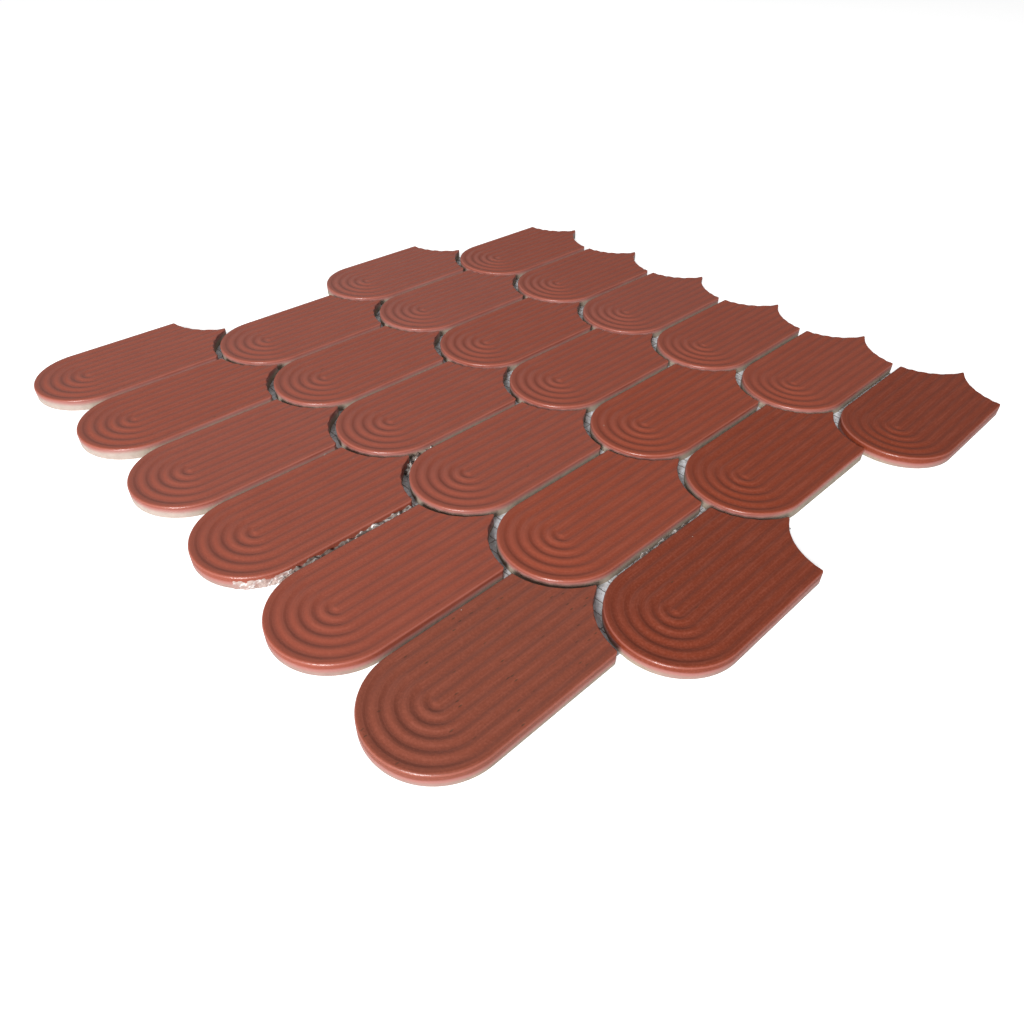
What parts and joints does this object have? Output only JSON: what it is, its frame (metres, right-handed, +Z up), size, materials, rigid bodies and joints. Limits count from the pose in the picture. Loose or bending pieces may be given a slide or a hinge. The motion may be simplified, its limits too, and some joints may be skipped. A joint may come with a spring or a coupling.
{
  "type": "mosaic tile sheet",
  "caption": "Sheet of elongated fish-scale ceramic mosaic tiles with concentric ridges, hollowed tails and open joints, held together by a thin mesh and glue backing.",
  "frame": {"origin": "middle of the sheet in plan, on the underside of the backing", "axes": "+Z up from the back to the glazed face; +Y along the tiles from their round ends to their tails; X across the rows, column 1 at +X"},
  "size_m": [0.2994, 0.3024, 0.0051],
  "materials": {
    "glazed_ceramic": "matt terracotta glaze over pale biscuit",
    "backing": "dried glue film over glass-fibre mesh"
  },
  "bodies": {
    "root": {"backing_sheet": "backing", "tile_a1": "glazed_ceramic", "tile_a2": "glazed_ceramic", "tile_a3": "glazed_ceramic", "tile_a4": "glazed_ceramic", "tile_a5": "glazed_ceramic", "tile_a6": "glazed_ceramic", "tile_b1": "glazed_ceramic", "tile_b2": "glazed_ceramic", "tile_b3": "glazed_ceramic", "tile_b4": "glazed_ceramic", "tile_b5": "glazed_ceramic", "tile_b6": "glazed_ceramic", "tile_c1": "glazed_ceramic", "tile_c2": "glazed_ceramic", "tile_c3": "glazed_ceramic", "tile_c4": "glazed_ceramic", "tile_c5": "glazed_ceramic", "tile_c6": "glazed_ceramic", "tile_d1": "glazed_ceramic", "tile_d2": "glazed_ceramic", "tile_d3": "glazed_ceramic", "tile_d4": "glazed_ceramic", "tile_d5": "glazed_ceramic", "tile_d6": "glazed_ceramic"}
  },
  "joints": []
}
